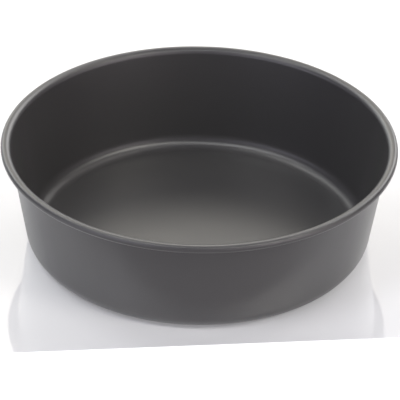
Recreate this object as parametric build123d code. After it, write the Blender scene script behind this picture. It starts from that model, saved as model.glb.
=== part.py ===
from build123d import *
import os
from math import acos, atan2, cos, degrees, hypot, radians, sin

# Round cake tin: a tapered pan drawn from one steel sheet, whose top edge flares outward and is
# rolled down round a steel wire. All sizes are in millimetres. The origin is the middle of the
# underside, and +Z is up.

# The drawn sheet
sheet_thickness = 0.7           # steel with its coating
mouth_diameter = 238.2          # clear width across the inside, where the rim begins to flare
base_diameter = 220.0           # outside, where the wall and the underside would meet sharp
inside_depth = 70.0             # from the floor to the top of the rim
inside_corner_radius = 10.5     # the draw radius between the floor and the wall

# The wired edge
flare_radius = 4.25             # of the inside face, from the wall outward to the top of the rim
wire_diameter = 3.0
wire_clearance = 0.15           # between the wire and the roll
wire_end_gap = 1.0              # between the two butted ends of the hoop
seam_gap = 0.3                  # between the roll's cut edge and the wall that it closes on

# The round stretches of the sections are cut into equal chords, so that each turned face is
# a plain cone, finest where it shows
corner_chord_count = 6
flare_top_chord_count = 5
flare_under_chord_count = 3
roll_top_chord_count = 10
roll_under_chord_count = 6
wire_side_count = 12

# Angles
full_turn = 360.0
half_turn = 180.0
quarter_turn = 90.0
tuck_angle = -100.0             # where, seen from the wire, the roll runs out straight to the wall

# What follows from the sizes above
overall_height = inside_depth + sheet_thickness
base_radius = base_diameter / 2
roll_radius = wire_diameter / 2 + wire_clearance + sheet_thickness
rim_centre_r = mouth_diameter / 2 + flare_radius
flare_centre_z = overall_height - flare_radius
roll_centre_z = overall_height - roll_radius


def wall_lean():
    """Angle of the wall from upright, for which its outer face runs on into the flare's underside."""
    across = rim_centre_r - base_radius
    reach = hypot(across, flare_centre_z)
    return degrees(acos((flare_radius - sheet_thickness) / reach) - atan2(flare_centre_z, across))


def corner_centre(lean):
    """Centre of the draw radius, which touches the underside and the wall's outer face."""
    outside_radius = inside_corner_radius + sheet_thickness
    inward = outside_radius * (1 - sin(radians(lean))) / cos(radians(lean))
    return base_radius - inward, outside_radius


def tuck_length(lean):
    """Straight run of the sheet under the wire, from the roll to just short of the wall."""
    rise = flare_radius - roll_radius
    wall_distance = flare_radius - sheet_thickness - rise * sin(radians(lean))
    turn = radians(tuck_angle + lean)
    return (wall_distance + roll_radius * cos(turn) - seam_gap) / -sin(turn)


def arc_points(centre, radius, start, end, chords):
    """Points of an arc between two directions, in degrees, that cut it into equal chords."""
    angles = [radians(start + (end - start) * step / chords) for step in range(chords + 1)]
    return [(centre[0] + radius * cos(angle), centre[1] + radius * sin(angle)) for angle in angles]


def sheet_side(depth, flare_chords, roll_chords):
    """One face of the sheet, at a depth under its inside face: over the floor, up the wall, round the rim."""
    lean = wall_lean()
    corner_radius = inside_corner_radius + depth
    corner = arc_points(corner_centre(lean), corner_radius, -quarter_turn, -lean, corner_chord_count)
    flare_centre = (rim_centre_r, flare_centre_z)
    flare = arc_points(flare_centre, flare_radius - depth, half_turn - lean, quarter_turn, flare_chords)
    roll_centre = (rim_centre_r, roll_centre_z)
    roll = arc_points(roll_centre, roll_radius - depth, quarter_turn, tuck_angle, roll_chords)
    run = tuck_length(lean)
    last_r, last_z = roll[-1]
    cut_edge = (last_r + run * sin(radians(tuck_angle)), last_z - run * cos(radians(tuck_angle)))
    return [(0, sheet_thickness - depth), *corner, *flare, *roll[1:], cut_edge]


def tin_shell():
    """The pan and its rolled rim: one sheet, whose section is turned about the axis."""
    outside = sheet_side(sheet_thickness, flare_under_chord_count, roll_under_chord_count)
    inside = sheet_side(0, flare_top_chord_count, roll_top_chord_count)
    section = make_face(Polyline(*outside, *reversed(inside), close=True))
    return revolve(Plane.XZ * section, Axis.Z, full_turn)


def rim_wire():
    """The wire hoop inside the roll, bent from one length whose ends butt together."""
    end_gap_angle = degrees(wire_end_gap / rim_centre_r)
    section = Pos(rim_centre_r, roll_centre_z) * RegularPolygon(wire_diameter / 2, wire_side_count)
    return revolve(Plane.XZ * section, Axis.Z, full_turn - end_gap_angle)


def main():
    os.makedirs("parts", exist_ok=True)
    for name, piece in {"tin_shell": tin_shell(), "rim_wire": rim_wire()}.items():
        piece.label = name
        export_step(piece, f"parts/{name}.step")
        print(name, "volume", round(piece.volume), "valid", piece.is_valid)
    rim_diameter = 2 * (rim_centre_r + roll_radius)
    print("wall leans", round(wall_lean(), 2), "degrees, rim is", round(rim_diameter, 2), "across")


if __name__ == "__main__":
    main()
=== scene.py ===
import logging
import math
from dataclasses import dataclass, replace
from enum import Enum

import bmesh
import bpy
from mathutils import Matrix, Vector


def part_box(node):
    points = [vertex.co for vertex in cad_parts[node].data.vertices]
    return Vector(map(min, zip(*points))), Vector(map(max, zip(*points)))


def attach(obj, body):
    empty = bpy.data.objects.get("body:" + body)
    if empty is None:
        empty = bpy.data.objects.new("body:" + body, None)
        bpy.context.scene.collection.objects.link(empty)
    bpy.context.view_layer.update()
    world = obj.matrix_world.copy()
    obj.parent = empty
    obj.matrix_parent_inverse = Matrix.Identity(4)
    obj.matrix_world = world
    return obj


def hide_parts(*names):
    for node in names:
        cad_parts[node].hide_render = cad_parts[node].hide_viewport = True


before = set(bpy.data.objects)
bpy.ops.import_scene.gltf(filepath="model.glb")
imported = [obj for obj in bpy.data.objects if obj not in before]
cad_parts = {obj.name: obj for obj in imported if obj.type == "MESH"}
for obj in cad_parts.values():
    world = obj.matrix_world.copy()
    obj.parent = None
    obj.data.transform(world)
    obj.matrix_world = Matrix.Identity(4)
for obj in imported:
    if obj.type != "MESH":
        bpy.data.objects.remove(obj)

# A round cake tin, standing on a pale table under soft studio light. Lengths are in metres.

log = logging.getLogger("cake_tin")

Point = tuple[float, float]
Place = tuple[float, float, float]
Colour = tuple[float, float, float]
SolidColour = tuple[float, float, float, float]
Ring = list[bmesh.types.BMVert]
Socket = bpy.types.NodeSocket

BODY = "root"
SHELL_NODE = "tin_shell"
WIRE_NODE = "rim_wire"
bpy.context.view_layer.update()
MILLIMETRES = 1000.0
WHITE: Colour = (1.0, 1.0, 1.0)


class SheetFace(Enum):
    """The two faces of the sheet that the tin is drawn from."""

    INSIDE = "inside"
    OUTSIDE = "outside"


class Space(Enum):
    """The coordinates that a texture can follow."""

    OBJECT = "Object"
    GENERATED = "Generated"


def opaque(colour: Colour) -> SolidColour:
    """The colour with an alpha of one, as sockets want it."""
    return (*colour, 1.0)


def arc(centre: Point, radius: float, start: float, end: float, steps: int) -> list[Point]:
    """Points along an arc.

    Args:
        centre: the arc's centre, as distance from the axis and height.
        radius: the arc's radius.
        start: the direction of the first point, in radians.
        end: the direction of the last point, in radians.
        steps: the number of equal steps from the first point to the last.

    Returns:
        The points, both ends included.
    """
    angles = [start + (end - start) * step / steps for step in range(steps + 1)]
    return [(centre[0] + radius * math.cos(a), centre[1] + radius * math.sin(a)) for a in angles]


def along(start: Point, end: Point, steps: int) -> list[Point]:
    """The points between two ends, without the ends, in equal steps."""
    shares = [step / steps for step in range(1, steps)]
    return [(start[0] + (end[0] - start[0]) * s, start[1] + (end[1] - start[1]) * s) for s in shares]


def turned(point: Point, turn: float) -> Place:
    """A point of a section, given as distance from the axis and height, turned about the axis."""
    return point[0] * math.cos(turn), point[0] * math.sin(turn), point[1]


def sharpen(build: bmesh.types.BMesh, ring: Ring) -> None:
    """Marks the edges round a closed ring as sharp."""
    for vertex, after in zip(ring, [*ring[1:], ring[0]]):
        build.edges.get((vertex, after)).smooth = False


def keep(build: bmesh.types.BMesh, name: str) -> bpy.types.Mesh:
    """Ends a mesh in the making and turns the outsides of its faces out.

    Args:
        build: the mesh in the making, which is freed.
        name: the name of the mesh that is kept.

    Returns:
        The mesh that is kept.
    """
    bmesh.ops.recalc_face_normals(build, faces=build.faces)
    mesh = bpy.data.meshes.new(name)
    build.to_mesh(mesh)
    build.free()
    return mesh


def link(mesh: bpy.types.Mesh, name: str) -> bpy.types.Object:
    """Puts a mesh in the scene.

    Args:
        mesh: the mesh.
        name: the name of the object that shows it.

    Returns:
        The new object.
    """
    piece = bpy.data.objects.new(name, mesh)
    bpy.context.scene.collection.objects.link(piece)
    return piece


class NodeSheet:
    """A short way to write a material's or world's node tree."""

    # The Mix node has sockets of one name for numbers, vectors and colours, so the colours go by number.
    MIX_LOW, MIX_HIGH, MIX_RESULT = 6, 7, 2

    def __init__(self, tree: bpy.types.NodeTree) -> None:
        """Starts on an empty tree."""
        tree.nodes.clear()
        self.tree = tree

    def add(self, kind: str, **values: object) -> bpy.types.Node:
        """Adds a node.

        Args:
            kind: the node's type name.
            values: the node's own settings, by name.

        Returns:
            The new node.
        """
        node = self.tree.nodes.new(kind)
        for name, value in values.items():
            setattr(node, name, value)
        return node

    def join(self, source: Socket, target: Socket) -> None:
        """Links an output to an input."""
        self.tree.links.new(source, target)

    def feed(self, target: Socket, value: Socket | float | SolidColour) -> None:
        """Gives an input its value.

        Args:
            target: the input.
            value: an output to link to it, or a number or colour to set.
        """
        if isinstance(value, Socket):
            self.join(value, target)
        else:
            target.default_value = value

    def math(self, operation: str, *inputs: Socket | float) -> Socket:
        """Adds a Math node.

        Args:
            operation: the node's operation.
            inputs: sockets to link, or numbers to set, in order.

        Returns:
            The node's output.
        """
        node = self.add("ShaderNodeMath", operation=operation)
        for socket, value in zip(node.inputs, inputs):
            self.feed(socket, value)
        return node.outputs["Value"]

    def remap(self, source: Socket, low: Point, high: Point) -> Socket:
        """Maps a value smoothly from one pair of numbers to another.

        Args:
            source: the value.
            low: the value at which the result is lowest, and that result.
            high: the value at which the result is highest, and that result.

        Returns:
            The mapped value.
        """
        node = self.add("ShaderNodeMapRange", interpolation_type="SMOOTHSTEP")
        self.join(source, node.inputs["Value"])
        node.inputs["From Min"].default_value, node.inputs["To Min"].default_value = low
        node.inputs["From Max"].default_value, node.inputs["To Max"].default_value = high
        return node.outputs["Result"]

    def mix(self, factor: Socket, low: Socket | SolidColour, high: Socket | SolidColour) -> Socket:
        """Mixes two colours.

        Args:
            factor: the share of the second colour.
            low: the first colour, as a socket to link or as a value.
            high: the second colour, in the same way.

        Returns:
            The mixed colour.
        """
        node = self.add("ShaderNodeMix", data_type="RGBA")
        self.join(factor, node.inputs["Factor"])
        self.feed(node.inputs[self.MIX_LOW], low)
        self.feed(node.inputs[self.MIX_HIGH], high)
        return node.outputs[self.MIX_RESULT]

    def noise(self, vector: Socket, scale: float, detail: float) -> Socket:
        """Adds a noise.

        Args:
            vector: what the noise follows.
            scale: its scale, in cycles a metre.
            detail: how many finer layers it has.

        Returns:
            The noise's value.
        """
        node = self.add("ShaderNodeTexNoise")
        self.join(vector, node.inputs["Vector"])
        node.inputs["Scale"].default_value = scale
        node.inputs["Detail"].default_value = detail
        return node.outputs["Fac"]

    def coordinates(self, space: Space) -> Socket:
        """The texture coordinates of the named kind."""
        return self.add("ShaderNodeTexCoord").outputs[space.value]

    def background_ray(self) -> Socket:
        """Tells the rays that show the background from those that only light something.

        Returns:
            One for camera, glossy and transmission rays, and zero for the others.
        """
        path = self.add("ShaderNodeLightPath")
        shown = self.math("ADD", path.outputs["Is Camera Ray"], path.outputs["Is Glossy Ray"])
        shown = self.math("ADD", shown, path.outputs["Is Transmission Ray"])
        return self.math("MINIMUM", shown, 1.0)


def start_finish(
    name: str, settings: dict[str, float | SolidColour]
) -> tuple[bpy.types.Material, NodeSheet, bpy.types.Node]:
    """Starts a finish, a material whose surface is one Principled shader.

    Args:
        name: the material's name.
        settings: what is the same all over the surface, by the name of the shader's socket.

    Returns:
        The material, its nodes and the shader.
    """
    material = bpy.data.materials.new(name)
    material.use_nodes = True
    sheet = NodeSheet(material.node_tree)
    shader = sheet.add("ShaderNodeBsdfPrincipled")
    for socket, value in settings.items():
        shader.inputs[socket].default_value = value
    output = sheet.add("ShaderNodeOutputMaterial")
    sheet.join(shader.outputs["BSDF"], output.inputs["Surface"])
    return material, sheet, shader


@dataclass(frozen=True)
class CoatedSteel:
    """The dark grey release coating: fine flecks in a dark body, drawn smooth, under a satin skin.

    The draw lines run up the wall, so there they spread a reflection round the tin only. A pair called low
    or high gives a level of the noise and the level that it is mapped to.
    """

    name: str = "release_coating"
    tone: Colour = (0.044, 0.043, 0.043)
    fleck: Colour = (0.066, 0.065, 0.065)
    ior: float = 1.50
    roughness: float = 0.31
    flat_roughness: float = 0.30
    roughness_swing: float = 0.02
    draw_spread: float = 1.0
    skin: float = 0.9
    skin_roughness: float = 0.45
    skin_ior: float = 1.57
    grain_scale: float = 2600.0
    grain_detail: float = 2.0
    grain_low: Point = (0.5, 0.0)
    grain_high: Point = (0.72, 1.0)
    mottle_scale: float = 34.0
    mottle_detail: float = 3.0
    mottle_low: Point = (0.3, 0.35)
    mottle_high: Point = (0.7, 0.75)
    draw_scale: float = 60.0
    draw_detail: float = 4.0
    draw_squeeze: Place = (1.0, 1.0, 0.04)
    patch_detail: float = 2.0
    patch_share: float = 0.5
    smooth_level: float = 0.35
    rough_level: float = 0.65
    peel_scale: float = 420.0
    peel_detail: float = 2.0
    peel_depth: float = 0.000001

    def undrawn(self) -> "CoatedSteel":
        """The same coating on the flat floor, which the drawing doesn't stretch."""
        return replace(self, name="floor_coating", draw_spread=0.0, roughness=self.flat_roughness)

    def material(self) -> bpy.types.Material:
        """Makes the coating.

        Returns:
            The coating as a node material.
        """
        material, sheet, shader = start_finish(self.name, {
            "IOR": self.ior,
            "Anisotropic": self.draw_spread,
            "Coat Weight": self.skin,
            "Coat Roughness": self.skin_roughness,
            "Coat IOR": self.skin_ior,
        })
        place = sheet.coordinates(Space.OBJECT)
        sheet.join(self._colour(sheet, place), shader.inputs["Base Color"])
        sheet.join(self._gloss(sheet, place), shader.inputs["Roughness"])
        sheet.join(self._peel(sheet, place), shader.inputs["Normal"])
        return material

    def _colour(self, sheet: NodeSheet, place: Socket) -> Socket:
        """Dark pigment with fine pale flecks, mottled a little from place to place.

        Args:
            sheet: the material's nodes.
            place: the place on the tin.

        Returns:
            The colour there.
        """
        fine = sheet.noise(place, self.grain_scale, self.grain_detail)
        broad = sheet.noise(place, self.mottle_scale, self.mottle_detail)
        grain = sheet.remap(fine, self.grain_low, self.grain_high)
        mottle = sheet.remap(broad, self.mottle_low, self.mottle_high)
        return sheet.mix(sheet.math("MULTIPLY", grain, mottle), opaque(self.tone), opaque(self.fleck))

    def _gloss(self, sheet: NodeSheet, place: Socket) -> Socket:
        """Roughness that wanders a little, in patches and in lines drawn up the wall.

        Args:
            sheet: the material's nodes.
            place: the place on the tin.

        Returns:
            The roughness there.
        """
        squeezed = sheet.add("ShaderNodeVectorMath", operation="MULTIPLY")
        sheet.join(place, squeezed.inputs[0])
        squeezed.inputs[1].default_value = self.draw_squeeze
        lines = sheet.noise(squeezed.outputs["Vector"], self.draw_scale, self.draw_detail)
        patches = sheet.noise(place, self.mottle_scale, self.patch_detail)
        both = sheet.math("MULTIPLY", sheet.math("ADD", lines, patches), self.patch_share)
        low, high = self.roughness - self.roughness_swing, self.roughness + self.roughness_swing
        return sheet.remap(both, (self.smooth_level, low), (self.rough_level, high))

    def _peel(self, sheet: NodeSheet, place: Socket) -> Socket:
        """The sprayed coat's fine ripple, as a bump.

        Args:
            sheet: the material's nodes.
            place: the place on the tin.

        Returns:
            The direction that the surface faces there.
        """
        bump = sheet.add("ShaderNodeBump")
        bump.inputs["Distance"].default_value = self.peel_depth
        sheet.join(sheet.noise(place, self.peel_scale, self.peel_detail), bump.inputs["Height"])
        return bump.outputs["Normal"]


@dataclass(frozen=True)
class DrawnWire:
    """Bright drawn steel, mottled with fine dull specks."""

    name: str = "drawn_wire"
    tone: Colour = (0.42, 0.41, 0.39)
    worn: Colour = (0.30, 0.29, 0.27)
    metal: float = 1.0
    roughness: float = 0.28
    worn_roughness: float = 0.364
    speck_scale: float = 1400.0
    speck_detail: float = 3.0
    smooth_level: float = 0.3
    rough_level: float = 0.7

    def material(self) -> bpy.types.Material:
        """Makes the wire's steel.

        Returns:
            The steel as a node material.
        """
        material, sheet, shader = start_finish(self.name, {"Metallic": self.metal})
        specks = sheet.noise(sheet.coordinates(Space.OBJECT), self.speck_scale, self.speck_detail)
        colour = sheet.mix(specks, opaque(self.tone), opaque(self.worn))
        smooth, rough = (self.smooth_level, self.roughness), (self.rough_level, self.worn_roughness)
        sheet.join(colour, shader.inputs["Base Color"])
        sheet.join(sheet.remap(specks, smooth, rough), shader.inputs["Roughness"])
        return material


@dataclass(frozen=True)
class TableTop:
    """A polished white table. Part of its white is a glow that is seen but lights nothing matt."""

    name: str = "white_table"
    tone: Colour = (0.71, 0.715, 0.735)
    glow: float = 0.18
    roughness: float = 0.05
    ior: float = 1.85

    def material(self) -> bpy.types.Material:
        """Makes the table's finish.

        Returns:
            The finish as a node material.
        """
        material, sheet, shader = start_finish(self.name, {
            "Base Color": opaque(self.tone),
            "Roughness": self.roughness,
            "IOR": self.ior,
            "Emission Color": opaque(WHITE),
        })
        glow = sheet.math("MULTIPLY", sheet.background_ray(), self.glow)
        sheet.join(glow, shader.inputs["Emission Strength"])
        return material


@dataclass
class TinShell:
    """The pan and its rolled rim: one sheet, turned about the axis."""

    rim_radius: float
    height: float
    sheet: float = 0.0007
    base_radius: float = 0.1100
    corner_radius: float = 0.0105
    roll_radius: float = 0.00235
    flare_radius: float = 0.00425
    tuck_angle: float = math.radians(-100.0)
    seam_gap: float = 0.0003
    around: int = 360
    floor_steps: int = 10
    corner_steps: int = 16
    wall_steps: int = 14
    flare_steps: int = 16
    roll_steps: int = 32

    @property
    def outer_corner_radius(self) -> float:
        """The radius of the corner on the sheet's outside."""
        return self.corner_radius + self.sheet

    @property
    def roll_centre(self) -> Point:
        """The centre of the rim's roll."""
        return self.rim_radius - self.roll_radius, self.height - self.roll_radius

    @property
    def flare_centre(self) -> Point:
        """The centre of the flare that leads from the wall to the top of the roll."""
        return self.roll_centre[0], self.height - self.flare_radius

    @property
    def lean(self) -> float:
        """The wall's angle from upright, which makes its outside run on into the flare.

        Returns:
            The angle, in radians.
        """
        across, up = self.flare_centre[0] - self.base_radius, self.flare_centre[1]
        reach = math.hypot(across, up)
        return math.acos((self.flare_radius - self.sheet) / reach) - math.atan2(up, across)

    @property
    def tuck_length(self) -> float:
        """How far the sheet runs straight from the roll to the wall, short of the seam gap.

        Returns:
            The length of that run.
        """
        rise = self.flare_radius - self.roll_radius
        wall_distance = self.flare_radius - self.sheet - rise * math.sin(self.lean)
        turn = self.tuck_angle + self.lean
        return (wall_distance + self.roll_radius * math.cos(turn) - self.seam_gap) / -math.sin(turn)

    @property
    def flat_radius(self) -> float:
        """How far the flat floor reaches from the axis, to where the corner begins."""
        set_back = self.outer_corner_radius * (1 - math.sin(self.lean)) / math.cos(self.lean)
        return self.base_radius - set_back

    def side(self, face: SheetFace) -> list[Point]:
        """One face of the sheet's section.

        Args:
            face: which face.

        Returns:
            Its points, from the axis over the floor, up the wall and round the rim's roll.
        """
        inside = face is SheetFace.INSIDE
        top, lean, tuck = math.pi / 2, self.lean, self.tuck_angle
        under = 0.0 if inside else self.sheet
        corner_radius = self.corner_radius if inside else self.outer_corner_radius
        corner_centre = (self.flat_radius, self.outer_corner_radius)
        corner = arc(corner_centre, corner_radius, -top, -lean, self.corner_steps)
        flare = arc(self.flare_centre, self.flare_radius - under, math.pi - lean, top, self.flare_steps)
        roll = arc(self.roll_centre, self.roll_radius - under, top, tuck, self.roll_steps)
        run = self.tuck_length
        end = (roll[-1][0] + run * math.sin(tuck), roll[-1][1] - run * math.cos(tuck))
        start = (0.0, self.sheet if inside else 0.0)
        floor = [start, *along(start, corner[0], self.floor_steps)]
        wall = along(corner[-1], flare[0], self.wall_steps)
        return [*floor, *corner, *wall, *flare, *roll[1:], end]

    def mesh(self) -> bpy.types.Mesh:
        """Turns the section about the axis.

        Returns:
            The closed mesh of the whole sheet, with its flat floor in the second material.
        """
        outside, inside = self.side(SheetFace.OUTSIDE), self.side(SheetFace.INSIDE)
        turns = [math.tau * step / self.around for step in range(self.around)]
        build = bmesh.new()
        rings: list[Ring] = []
        for point in [*outside, *reversed(inside)]:
            on_axis = point[0] == 0.0
            own_turns = turns[:1] if on_axis else turns
            rings.append([build.verts.new(turned(point, turn)) for turn in own_turns])
        for lower, upper in zip(rings, rings[1:]):
            self._band(build, lower, upper)
        for face in build.faces:
            middle = face.calc_center_median()
            face.smooth = True
            face.material_index = int(math.hypot(middle.x, middle.y) < self.flat_radius)
        cut_edge = rings[len(outside) - 1:len(outside) + 1]
        for ring in cut_edge:
            sharpen(build, ring)
        return keep(build, "cake_tin_shell")

    def _band(self, build: bmesh.types.BMesh, lower: Ring, upper: Ring) -> None:
        """Faces between two neighbouring rings, either of which may be a point on the axis.

        Args:
            build: the mesh in the making.
            lower: the first ring.
            upper: the next ring.
        """
        for step in range(self.around):
            after = (step + 1) % self.around
            if len(lower) == 1:
                build.faces.new((lower[0], upper[step], upper[after]))
            elif len(upper) == 1:
                build.faces.new((lower[step], lower[after], upper[0]))
            else:
                build.faces.new((lower[step], lower[after], upper[after], upper[step]))

    def build(self, finish: CoatedSteel) -> bpy.types.Object:
        """Builds the shell, dresses it and seats it on its body in place of its CAD node.

        Args:
            finish: the coating.

        Returns:
            The shell.
        """
        piece = link(self.mesh(), "cake_tin_shell")
        piece.data.materials.append(finish.material())
        piece.data.materials.append(finish.undrawn().material())
        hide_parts(SHELL_NODE)
        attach(piece, BODY)
        return piece


@dataclass
class WireHoop:
    """The wire that the rim is rolled round, with its two ends butted."""

    centre_radius: float
    height: float
    radius: float = 0.0015
    end_gap: float = 0.001
    around: int = 300
    section_steps: int = 24

    def mesh(self) -> bpy.types.Mesh:
        """Turns the wire's section about the axis, short of the gap between its ends.

        Returns:
            The closed mesh of the hoop.
        """
        full_turn = math.tau - self.end_gap / self.centre_radius
        centre = (self.centre_radius, self.height)
        section = arc(centre, self.radius, 0.0, math.tau, self.section_steps)[:-1]
        build = bmesh.new()
        rings: list[Ring] = []
        for step in range(self.around + 1):
            turn = full_turn * step / self.around
            rings.append([build.verts.new(turned(point, turn)) for point in section])
        for first, second in zip(rings, rings[1:]):
            for step in range(self.section_steps):
                after = (step + 1) % self.section_steps
                build.faces.new((first[step], first[after], second[after], second[step])).smooth = True
        for end in (rings[0], rings[-1]):
            build.faces.new(end)
            sharpen(build, end)
        return keep(build, "rim_wire_hoop")

    def build(self, finish: DrawnWire) -> bpy.types.Object:
        """Builds the hoop, dresses it and seats it on its body in place of its CAD node.

        Args:
            finish: the wire's steel.

        Returns:
            The hoop.
        """
        piece = link(self.mesh(), "rim_wire_hoop")
        piece.data.materials.append(finish.material())
        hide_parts(WIRE_NODE)
        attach(piece, BODY)
        return piece


@dataclass(frozen=True)
class SoftLight:
    """A round, soft-edged light of the room, so far off that only its direction counts.

    The azimuth runs from the front, where the camera stands, to the right. The light has its whole strength
    up to the angle full from its middle, and none beyond the angle faded. Angles are in degrees.
    """

    azimuth: float
    elevation: float
    full: float
    faded: float
    colour: Colour

    @property
    def direction(self) -> Vector:
        """The unit vector towards the middle of the light."""
        turn, rise = math.radians(self.azimuth), math.radians(self.elevation)
        return Vector((math.cos(rise) * math.sin(turn), -math.cos(rise) * math.cos(turn), math.sin(rise)))

    def shine(self, sheet: NodeSheet, outlook: Socket) -> Socket:
        """What the light sends from each direction.

        Args:
            sheet: the world's nodes.
            outlook: the direction that is looked in.

        Returns:
            The light's radiance there, as a colour.
        """
        facing = sheet.add("ShaderNodeVectorMath", operation="DOT_PRODUCT")
        sheet.join(outlook, facing.inputs[0])
        facing.inputs[1].default_value = self.direction
        edge, core = math.cos(math.radians(self.faded)), math.cos(math.radians(self.full))
        level = sheet.remap(facing.outputs["Value"], (edge, 0.0), (core, 1.0))
        shine = sheet.add("ShaderNodeVectorMath", operation="SCALE")
        shine.inputs[0].default_value = self.colour
        sheet.join(level, shine.inputs["Scale"])
        return shine.outputs["Vector"]


@dataclass(frozen=True)
class Room:
    """The pale ground below the horizon, the dim room above it and the soft lights that stand in the room.

    The ground has its whole tone up to ground_edge, a height on the unit sphere of directions, and is gone
    at the horizon.
    """

    dim: Colour = (0.050, 0.050, 0.080)
    ground: Colour = (0.53, 0.51, 0.53)
    ground_edge: float = -0.08
    lights: tuple[SoftLight, ...] = (
        # High lamps: on the right, on the left, behind on the left, and a faint one in front.
        SoftLight(azimuth=54.5, elevation=48.5, full=4.0, faded=11.5, colour=(12.7, 12.3, 11.3)),
        SoftLight(azimuth=-52.4, elevation=57.5, full=4.0, faded=13.0, colour=(8.2, 8.2, 8.3)),
        SoftLight(azimuth=-122.0, elevation=58.0, full=8.0, faded=14.7, colour=(4.1, 4.1, 4.0)),
        SoftLight(azimuth=16.5, elevation=57.0, full=5.4, faded=10.5, colour=(0.95, 1.03, 1.2)),
        # Low, wide glows on the right and on the left of the camera.
        SoftLight(azimuth=49.5, elevation=4.0, full=2.0, faded=33.0, colour=(3.1, 2.8, 2.9)),
        SoftLight(azimuth=-50.1, elevation=8.0, full=2.3, faded=36.0, colour=(1.7, 1.65, 1.9)),
        # Wide glows behind the tin.
        SoftLight(azimuth=-165.0, elevation=28.9, full=15.6, faded=20.6, colour=(2.22, 2.13, 1.9)),
        SoftLight(azimuth=-139.9, elevation=24.2, full=5.0, faded=23.0, colour=(2.84, 2.9, 2.85)),
        SoftLight(azimuth=149.5, elevation=28.4, full=2.3, faded=25.4, colour=(4.86, 4.8, 4.7)),
        # A high lamp behind on the right.
        SoftLight(azimuth=114.9, elevation=57.0, full=3.9, faded=11.7, colour=(3.1, 2.9, 2.7)),
    )

    def _lit(self, sheet: NodeSheet, outlook: Socket) -> Socket:
        """The dim room and its lights, added up for each direction.

        Args:
            sheet: the world's nodes.
            outlook: the direction that is looked in.

        Returns:
            The room's radiance there, as a colour.
        """
        total = sheet.add("ShaderNodeVectorMath", operation="ADD")
        total.inputs[1].default_value = self.dim
        sheet.join(self.lights[0].shine(sheet, outlook), total.inputs[0])
        for light in self.lights[1:]:
            more = sheet.add("ShaderNodeVectorMath", operation="ADD")
            sheet.join(light.shine(sheet, outlook), more.inputs[0])
            sheet.join(total.outputs["Vector"], more.inputs[1])
            total = more
        return total.outputs["Vector"]

    def build(self) -> bpy.types.World:
        """Builds the room as the scene's world, the same for every ray.

        Returns:
            The world.
        """
        world = bpy.data.worlds.new("studio_room")
        world.use_nodes = True
        sheet = NodeSheet(world.node_tree)
        outlook = sheet.coordinates(Space.GENERATED)
        split = sheet.add("ShaderNodeSeparateXYZ")
        sheet.join(outlook, split.inputs["Vector"])
        above = sheet.remap(split.outputs["Z"], (self.ground_edge, 0.0), (0.0, 1.0))
        room = sheet.mix(above, opaque(self.ground), self._lit(sheet, outlook))
        background = sheet.add("ShaderNodeBackground")
        sheet.join(room, background.inputs["Color"])
        output = sheet.add("ShaderNodeOutputWorld")
        sheet.join(background.outputs["Background"], output.inputs["Surface"])
        bpy.context.scene.world = world
        return world


@dataclass
class Studio:
    """The table, the room with its soft lights, and the camera. Angles are in degrees, the lens in mm."""

    table_half: float = 3.0
    table_depth: float = 1.5
    table_front: float = -0.125
    table_turn: float = 5.67
    front_glow: float = 0.7
    lens: float = 188.24
    camera_distance: float = 1.3497
    clip_reach: float = 100.0
    elevation: float = 32.24
    roll: float = 1.11
    aim: Place = (0.00103, 0.0, 0.02458)

    def table(self) -> bpy.types.Object:
        """Builds the table, whose front edge passes close before the tin, a little askew.

        Returns:
            The table: its top, and its white front below that edge.
        """
        half, front, depth = self.table_half, self.table_front, self.table_depth
        tilt = math.tan(math.radians(self.table_turn)) * half
        edge = [(-half, front - tilt), (half, front + tilt)]
        corners = [(*edge[0], 0.0), (*edge[1], 0.0), (half, half, 0.0), (-half, half, 0.0)]
        corners += [(*edge[0], -depth), (*edge[1], -depth)]
        top_face, front_face = (0, 1, 2, 3), (4, 5, 1, 0)
        mesh = bpy.data.meshes.new("table")
        mesh.from_pydata(corners, [], [top_face, front_face])
        mesh.update()
        mesh.materials.append(TableTop().material())
        mesh.materials.append(TableTop("white_table_front", glow=self.front_glow).material())
        mesh.polygons[1].material_index = 1
        table = link(mesh, "table")
        return table

    def camera(self) -> bpy.types.Object:
        """Sets up the camera, at the photograph's place and with its long lens.

        Returns:
            The camera.
        """
        data = bpy.data.cameras.new("camera")
        data.lens = self.lens
        data.clip_start = self.camera_distance / self.clip_reach
        data.clip_end = self.camera_distance * self.clip_reach
        camera = bpy.data.objects.new("camera", data)
        bpy.context.scene.collection.objects.link(camera)
        rise = math.radians(self.elevation)
        back = Vector((0.0, -math.cos(rise), math.sin(rise)))
        turn = back.to_track_quat("Z", "Y").to_matrix().to_4x4()
        place = Matrix.Translation(Vector(self.aim) + back * self.camera_distance)
        camera.matrix_world = place @ turn @ Matrix.Rotation(math.radians(self.roll), 4, "Z")
        bpy.context.scene.camera = camera
        return camera

    def build(self) -> None:
        """Sets up the whole studio."""
        self.table()
        Room().build()
        self.camera()
        bpy.context.scene.view_settings.view_transform = "Standard"


def report(piece: bpy.types.Object) -> None:
    """Logs a piece that is built, with its faces and its width."""
    width = MILLIMETRES * piece.dimensions.x
    log.info("%s: %d faces, %.1f mm across", piece.name, len(piece.data.polygons), width)


def main() -> None:
    """Builds the tin and its studio in order."""
    logging.basicConfig(level=logging.INFO, format="%(name)s: %(message)s")
    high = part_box(SHELL_NODE)[1]
    shell = TinShell(rim_radius=min(high.x, high.y), height=high.z)
    report(shell.build(CoatedSteel()))
    hoop = WireHoop(centre_radius=shell.roll_centre[0], height=shell.roll_centre[1])
    report(hoop.build(DrawnWire()))
    Studio().build()


if __name__ == "__main__":
    main()
